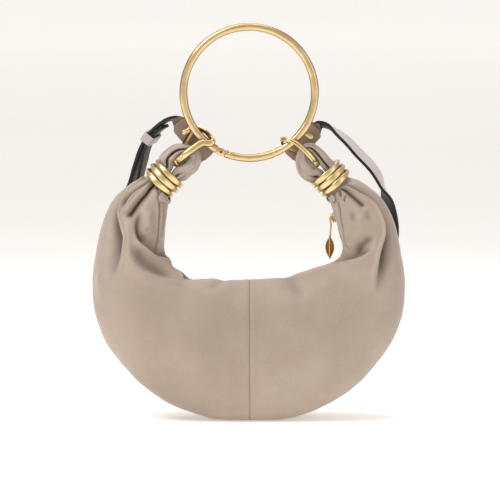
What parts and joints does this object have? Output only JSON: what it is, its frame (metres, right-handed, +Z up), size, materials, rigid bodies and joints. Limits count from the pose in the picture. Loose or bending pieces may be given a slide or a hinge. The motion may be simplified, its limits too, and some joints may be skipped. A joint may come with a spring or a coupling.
{
  "type": "ring handle bag",
  "caption": "Slouching crescent leather bag with a zip between two coil-bound horns that hang from a round metal ring handle with a hinged gate.",
  "frame": {"origin": "middle of the flat patch on the bottom of the bag, on the surface it stands on", "axes": "+Z up through the ring handle, +X to the viewer's right, -Y towards the front of the bag"},
  "size_m": [0.2879, 0.1154, 0.3633],
  "materials": {
    "leather": "smooth matt nappa",
    "strap_leather": "smooth, painted black edges",
    "trim_leather": "smooth",
    "gold": "polished warm gold",
    "zip_cloth": "woven tape"
  },
  "bodies": {
    "bag": {"body_left": "leather", "body_right": "leather", "zip_tape": "zip_cloth", "zip_teeth": "gold", "zip_end_left": "trim_leather", "zip_end_right": "trim_leather", "zip_slider": "gold", "zip_pull_loop": "gold", "zip_pull_charm": "gold", "neck_coil_left": "gold", "neck_coil_right": "gold", "end_loop_left": "leather", "end_loop_right": "leather", "link_left": "gold", "link_right": "gold", "ring_handle": "gold", "strap_short": "strap_leather", "strap_long": "strap_leather", "strap_keeper": "trim_leather", "strap_buckle": "gold"},
    "gate": {"ring_gate": "gold"}
  },
  "joints": [
    {"name": "gate_hinge", "type": "hinge", "parent": "bag", "child": "gate", "pos_m": [-0.02429, 0, 0.24489], "axis": [0, -1, 0], "range_deg": [0, 38], "stiffness_Nm_per_rad": 0.02, "springref_deg": -22.92}
  ]
}
